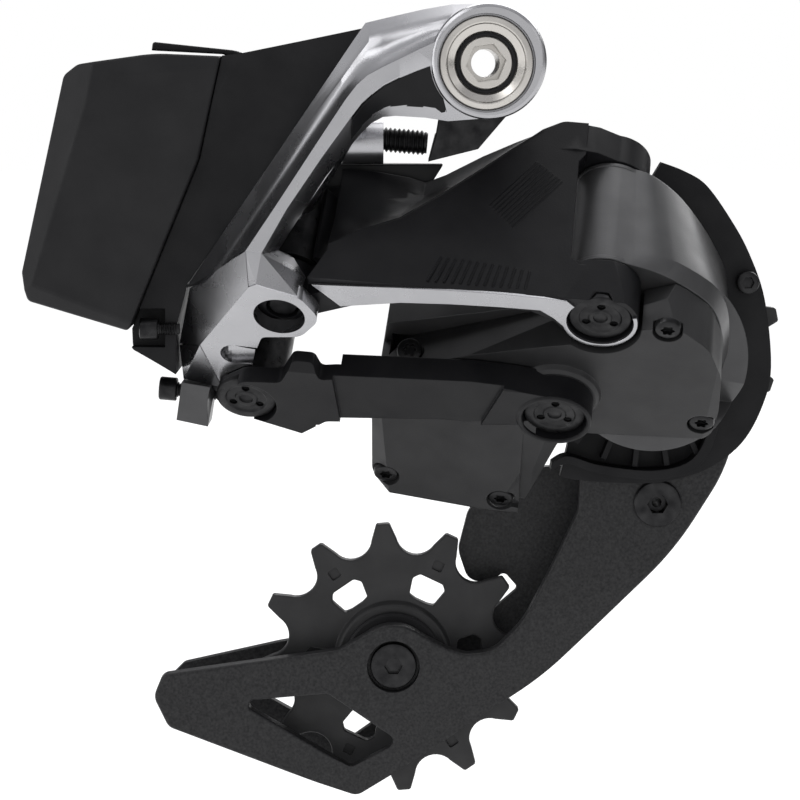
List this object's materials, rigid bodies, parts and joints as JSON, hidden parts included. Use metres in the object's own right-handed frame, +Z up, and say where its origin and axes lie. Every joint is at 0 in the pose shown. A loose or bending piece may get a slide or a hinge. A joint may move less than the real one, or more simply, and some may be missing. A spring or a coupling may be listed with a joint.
{
  "type": "rear bicycle derailleur",
  "caption": "Battery-driven rear bicycle derailleur with a slanted parallelogram linkage, a motor gearbox in the lower knuckle and a sprung two-pulley cage.",
  "frame": {"origin": "on the axis of the mounting bolt, at the outboard face of the bicycle hanger that the stop washer rests on", "axes": "+X is the bicycle's forward direction, +Y points inboard towards the wheel, -Y is outboard, +Z is up"},
  "size_m": [0.1382, 0.0606, 0.1501],
  "materials": {
    "polished_aluminium": "bright polished forged aluminium",
    "machined_steel": "turned and machined steel",
    "black_steel": "black-oxidised steel, satin",
    "link_black": "satin black anodised forging with bright machined edges",
    "battery_black": "satin black moulded shell",
    "satin_grey": "dark grey satin anodised casting",
    "cover_grey": "near-black satin painted casting",
    "black_plastic": "matt black moulded polymer",
    "carbon_plate": "matt chopped-carbon composite",
    "pulley_grey": "dark grey anodised",
    "spring_steel": "bare spring wire",
    "bronze": "plain bearing bronze",
    "board_green": "circuit board with solder mask",
    "clear_lens": "smoked clear polymer"
  },
  "bodies": {
    "hanger_side": {"mounting_bolt": "machined_steel", "stop_washer": "black_steel"},
    "upper_knuckle": {"b_knuckle": "polished_aluminium", "mounting_bushing": "bronze", "battery_mount": "black_plastic", "circuit_board": "board_green", "status_lens": "clear_lens", "latch_pin": "machined_steel", "link_pin_a": "black_steel", "link_pin_b": "black_steel"},
    "battery": {"battery_pack": "battery_black"},
    "latch": {"battery_latch": "black_plastic"},
    "button": {"function_button": "black_plastic"},
    "b_screw": {"b_adjust_screw": "black_steel"},
    "high_screw": {"limit_screw_high": "black_steel"},
    "low_screw": {"limit_screw_low": "black_steel"},
    "outer_arm": {"outer_link": "link_black"},
    "inner_arm": {"inner_link": "link_black"},
    "lower_knuckle": {"p_knuckle_housing": "satin_grey", "gearbox_cover": "cover_grey", "cover_screw_1": "black_steel", "cover_screw_2": "black_steel", "cover_screw_3": "black_steel", "cover_screw_4": "black_steel", "cover_screw_5": "black_steel", "link_pin_c": "black_steel", "link_pin_d": "black_steel", "gearbox_motor": "machined_steel", "pivot_flange": "black_plastic", "flange_screw": "black_steel", "cage_spring": "spring_steel"},
    "gear": {"drive_gear": "bronze"},
    "worm": {"motor_worm": "machined_steel"},
    "cage": {"cage_axle": "machined_steel", "outer_cage_plate": "carbon_plate", "inner_cage_plate": "carbon_plate", "cage_spacer": "machined_steel", "cage_spacer_bolt": "black_steel", "tension_bolt": "black_steel", "guide_bolt": "black_steel", "guide_outer_cap": "black_plastic", "guide_inner_cap": "black_plastic", "tension_outer_cap": "black_plastic", "tension_inner_cap": "black_plastic"},
    "guide_wheel": {"guide_pulley": "pulley_grey", "guide_bearing": "machined_steel"},
    "tension_wheel": {"tension_pulley": "pulley_grey", "tension_bearing": "machined_steel"}
  },
  "joints": [
    {"name": "hanger_pivot", "type": "hinge", "parent": "hanger_side", "child": "upper_knuckle", "pos_m": [0, 0, 0], "axis": [0, 1, 0], "range_deg": [0, 15]},
    {"name": "battery_release", "type": "slide", "parent": "upper_knuckle", "child": "battery", "axis": [-1, 0, 0], "range_m": [0, 0.025]},
    {"name": "latch_pivot", "type": "hinge", "parent": "upper_knuckle", "child": "latch", "pos_m": [-0.0424, 0, 0.0003], "axis": [0, 1, 0], "range_deg": [0, 60]},
    {"name": "button_press", "type": "slide", "parent": "upper_knuckle", "child": "button", "axis": [0, -1, 0], "range_m": [0, 0.0004], "stiffness_N_per_m": 3000, "springref_m": -0.0002},
    {"name": "b_screw_travel", "type": "slide", "parent": "upper_knuckle", "child": "b_screw", "axis": [-0.9962, 0, 0.0872], "range_m": [0, 0.003]},
    {"name": "high_limit_travel", "type": "slide", "parent": "upper_knuckle", "child": "high_screw", "axis": [-1, 0, 0], "range_m": [0, 0.001]},
    {"name": "low_limit_travel", "type": "slide", "parent": "upper_knuckle", "child": "low_screw", "axis": [-0.9962, 0, 0.0872], "range_m": [0, 0.001]},
    {"name": "link_a_pivot", "type": "hinge", "parent": "upper_knuckle", "child": "outer_arm", "pos_m": [-0.03362, -0.00127, -0.03309], "axis": [-0.1151, -0.7024, -0.7024], "range_deg": [-62, 0]},
    {"name": "link_b_pivot", "type": "hinge", "parent": "upper_knuckle", "child": "inner_arm", "pos_m": [-0.04193, 0.00089, -0.05808], "axis": [-0.1151, -0.7024, -0.7024], "range_deg": [-62, 0]},
    {"name": "link_c_pivot", "type": "hinge", "parent": "outer_arm", "child": "lower_knuckle", "pos_m": [0.02178, -0.00415, -0.03074], "axis": [-0.1151, -0.7024, -0.7024], "range_deg": [0, 62]},
    {"name": "drive_gear_turn", "type": "hinge", "parent": "lower_knuckle", "child": "gear", "pos_m": [0.01413, 0.00201, -0.05173], "axis": [-0.1151, -0.7024, -0.7024], "range_deg": [-62, 0]},
    {"name": "worm_turn", "type": "hinge", "parent": "lower_knuckle", "child": "worm", "pos_m": [0.01404, 0.00753, -0.05738], "axis": [0.9934, -0.0814, -0.0814], "range_deg": [-1490, 0]},
    {"name": "cage_pivot", "type": "hinge", "parent": "lower_knuckle", "child": "cage", "pos_m": [0.0311, 0.0225, -0.0526], "axis": [0, -1, 0], "range_deg": [0, 100], "stiffness_Nm_per_rad": 0.3, "springref_deg": -57.3},
    {"name": "guide_spin", "type": "hinge", "parent": "cage", "child": "guide_wheel", "pos_m": [0.0311, 0.0293, -0.0526], "axis": [0, 1, 0], "continuous": true},
    {"name": "tension_spin", "type": "hinge", "parent": "cage", "child": "tension_wheel", "pos_m": [-0.0159, 0.0293, -0.1136], "axis": [0, 1, 0], "continuous": true}
  ],
  "couplings": [
    {"joint": "link_b_pivot", "follows": "link_a_pivot", "ratio": 1},
    {"joint": "link_c_pivot", "follows": "link_a_pivot", "ratio": -1},
    {"joint": "drive_gear_turn", "follows": "link_a_pivot", "ratio": 1},
    {"joint": "worm_turn", "follows": "link_a_pivot", "ratio": 24}
  ]
}
